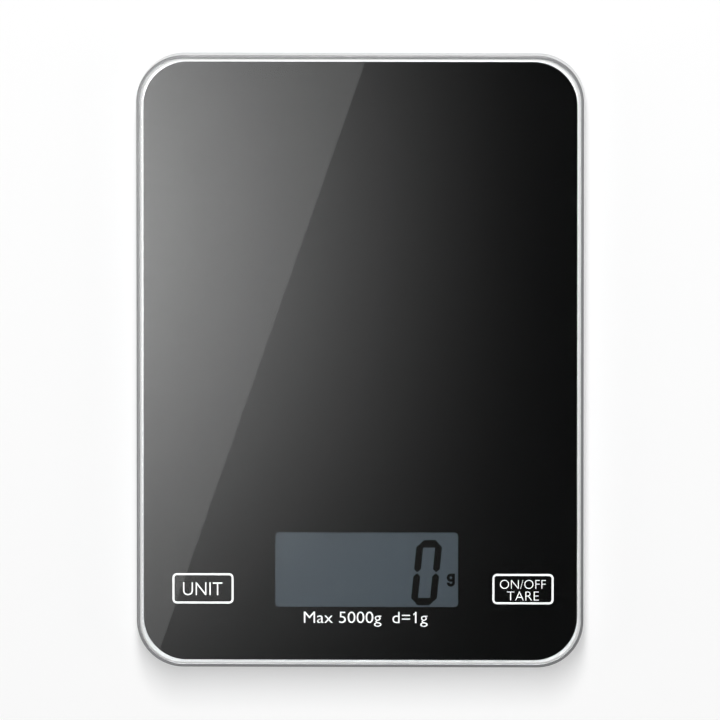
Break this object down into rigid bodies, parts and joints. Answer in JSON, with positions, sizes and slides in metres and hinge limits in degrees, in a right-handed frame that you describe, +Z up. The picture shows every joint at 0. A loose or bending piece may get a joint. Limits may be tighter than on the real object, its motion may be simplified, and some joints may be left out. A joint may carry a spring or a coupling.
{
  "type": "kitchen scale",
  "caption": "Slim glass-topped digital kitchen scale with touch keys, an LCD window, sprung load-cell feet and a hinged battery door underneath.",
  "frame": {"origin": "on the table, under the middle of the scale", "axes": "+X to the right of someone reading the display, +Y away from them along the long side, +Z up; the display and keys are at -Y"},
  "size_m": [0.146, 0.2, 0.017],
  "materials": {
    "clear_glass": "polished",
    "black_print": "gloss",
    "foam_tape": "matte",
    "silver_bezel": "satin",
    "light_housing": "satin",
    "dark_foot": "matte",
    "white_plastic": "satin",
    "rubber_pad": "matte",
    "plated_steel": "satin",
    "circuit_board": "satin",
    "chip_epoxy": "satin",
    "lcd_glass": "polished",
    "lcd_film": "gloss",
    "zebra_rubber": "matte",
    "copper_foil": "satin",
    "gauge_silicone": "satin",
    "grey_wire": "satin",
    "black_wire": "satin",
    "red_wire": "satin"
  },
  "bodies": {
    "housing": {"glass_platform": "clear_glass", "printed_film": "black_print", "adhesive_frame": "foam_tape", "bezel_frame": "silver_bezel", "lower_housing": "light_housing", "circuit_board": "circuit_board", "chip_blob": "chip_epoxy", "lead_connector_left": "white_plastic", "lead_connector_right": "white_plastic", "lcd_glass": "lcd_glass", "lcd_polariser": "lcd_film", "lcd_reflector": "lcd_film", "lcd_holder": "white_plastic", "zebra_connector": "zebra_rubber", "touch_electrode_unit": "copper_foil", "touch_electrode_tare": "copper_foil", "touch_lead_unit": "grey_wire", "touch_lead_tare": "grey_wire", "coin_cell": "plated_steel", "contact_negative": "plated_steel", "contact_positive": "plated_steel", "battery_lead_negative": "black_wire", "battery_lead_positive": "red_wire", "housing_screw_1": "plated_steel", "housing_screw_2": "plated_steel", "housing_screw_3": "plated_steel", "housing_screw_4": "plated_steel", "housing_screw_5": "plated_steel", "housing_screw_6": "plated_steel", "board_screw_1": "plated_steel", "board_screw_2": "plated_steel", "board_screw_3": "plated_steel", "board_screw_4": "plated_steel", "load_cell_front_left": "plated_steel", "strain_gauge_front_left": "gauge_silicone", "foot_carrier_front_left": "white_plastic", "load_cell_lead_front_left": "grey_wire", "load_cell_front_right": "plated_steel", "strain_gauge_front_right": "gauge_silicone", "foot_carrier_front_right": "white_plastic", "load_cell_lead_front_right": "grey_wire", "load_cell_back_left": "plated_steel", "strain_gauge_back_left": "gauge_silicone", "foot_carrier_back_left": "white_plastic", "load_cell_lead_back_left": "grey_wire", "load_cell_back_right": "plated_steel", "strain_gauge_back_right": "gauge_silicone", "foot_carrier_back_right": "white_plastic", "load_cell_lead_back_right": "grey_wire"},
    "foot_front_left": {"foot_front_left": "dark_foot", "foot_pad_front_left": "rubber_pad"},
    "foot_front_right": {"foot_front_right": "dark_foot", "foot_pad_front_right": "rubber_pad"},
    "foot_back_left": {"foot_back_left": "dark_foot", "foot_pad_back_left": "rubber_pad"},
    "foot_back_right": {"foot_back_right": "dark_foot", "foot_pad_back_right": "rubber_pad"},
    "battery_door": {"battery_door": "light_housing", "door_foam_pad": "foam_tape"}
  },
  "joints": [
    {"name": "foot_front_left_press", "type": "slide", "parent": "housing", "child": "foot_front_left", "axis": [0, 0, 1], "range_m": [0, 0.0005], "stiffness_N_per_m": 4000, "deforming": ["load_cell_front_left"]},
    {"name": "foot_front_right_press", "type": "slide", "parent": "housing", "child": "foot_front_right", "axis": [0, 0, 1], "range_m": [0, 0.0005], "stiffness_N_per_m": 4000, "deforming": ["load_cell_front_right"]},
    {"name": "foot_back_left_press", "type": "slide", "parent": "housing", "child": "foot_back_left", "axis": [0, 0, 1], "range_m": [0, 0.0005], "stiffness_N_per_m": 4000, "deforming": ["load_cell_back_left"]},
    {"name": "foot_back_right_press", "type": "slide", "parent": "housing", "child": "foot_back_right", "axis": [0, 0, 1], "range_m": [0, 0.0005], "stiffness_N_per_m": 4000, "deforming": ["load_cell_back_right"]},
    {"name": "battery_door_hinge", "type": "hinge", "parent": "housing", "child": "battery_door", "pos_m": [0, 0.0373, 0.0026], "axis": [1, 0, 0], "range_deg": [0, 70]}
  ]
}
